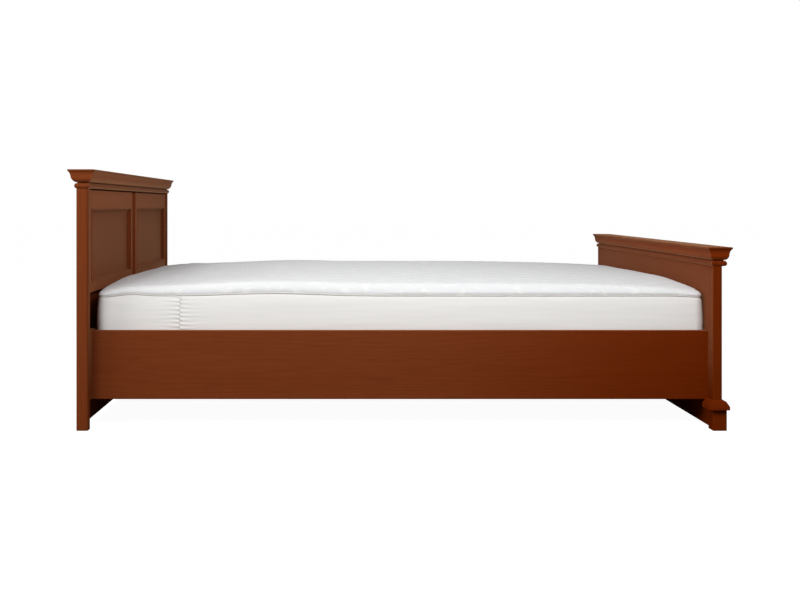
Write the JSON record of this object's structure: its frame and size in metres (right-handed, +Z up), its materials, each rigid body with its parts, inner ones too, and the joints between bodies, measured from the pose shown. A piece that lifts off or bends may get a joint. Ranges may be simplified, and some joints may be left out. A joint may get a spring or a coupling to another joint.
{
  "type": "panel bed",
  "caption": "Wooden panel bed with a crowned, framed headboard, a lower footboard on a plinth, side rails, a slatted base and a mattress.",
  "frame": {"origin": "on the floor, under the middle of the bounding box", "axes": "+X from the headboard to the footboard, +Y to the right as seen from the foot, +Z up"},
  "size_m": [2.13, 1.813, 0.841],
  "materials": {
    "stained_wood": "warm red-brown stain under satin lacquer, fine dark grain",
    "plain_pine": "planed, unstained softwood",
    "zinc_steel": "zinc-plated",
    "black_plastic": "matt moulded",
    "mattress_cover": "quilted off-white ticking with piped edges"
  },
  "bodies": {
    "bed_frame": {"beam_hanger_foot": "zinc_steel", "beam_hanger_head": "zinc_steel", "bracket_screws": "zinc_steel", "centre_beam": "plain_pine", "centre_leg_foot": "stained_wood", "centre_leg_head": "stained_wood", "foot_bead": "stained_wood", "foot_cap": "stained_wood", "foot_crown_ends": "stained_wood", "foot_crown_inner": "stained_wood", "foot_crown_outer": "stained_wood", "foot_frame_left": "stained_wood", "foot_frame_right": "stained_wood", "foot_inner_board": "stained_wood", "foot_moulding_left": "stained_wood", "foot_moulding_right": "stained_wood", "foot_panel_left": "stained_wood", "foot_panel_right": "stained_wood", "foot_post_left": "stained_wood", "foot_post_right": "stained_wood", "foot_top_rail": "stained_wood", "head_back_board": "stained_wood", "head_bead": "stained_wood", "head_cap": "stained_wood", "head_crown_back": "stained_wood", "head_crown_ends": "stained_wood", "head_crown_front": "stained_wood", "head_high_rail_left": "stained_wood", "head_high_rail_right": "stained_wood", "head_low_rail_left": "stained_wood", "head_low_rail_right": "stained_wood", "head_moulding_left": "stained_wood", "head_moulding_right": "stained_wood", "head_panel_left": "stained_wood", "head_panel_right": "stained_wood", "head_post_left": "stained_wood", "head_post_right": "stained_wood", "head_rail_block_left": "stained_wood", "head_rail_block_right": "stained_wood", "head_stile_left_a": "stained_wood", "head_stile_left_b": "stained_wood", "head_stile_right_a": "stained_wood", "head_stile_right_b": "stained_wood", "head_top_rail": "stained_wood", "ledge_left": "plain_pine", "ledge_right": "plain_pine", "leg_foot_foot": "black_plastic", "leg_foot_head": "black_plastic", "plinth_block_left": "stained_wood", "plinth_block_right": "stained_wood", "plinth_board": "stained_wood", "plinth_moulding": "stained_wood", "rail_bracket_foot_left": "zinc_steel", "rail_bracket_foot_right": "zinc_steel", "rail_bracket_head_left": "zinc_steel", "rail_bracket_head_right": "zinc_steel", "side_rail_left": "stained_wood", "side_rail_right": "stained_wood", "slats": "plain_pine"},
    "mattress": {"mattress": "mattress_cover"}
  },
  "joints": [
    {"name": "mattress_lift", "type": "slide", "parent": "bed_frame", "child": "mattress", "axis": [0, 0, 1], "range_m": [0, 0.08]}
  ]
}
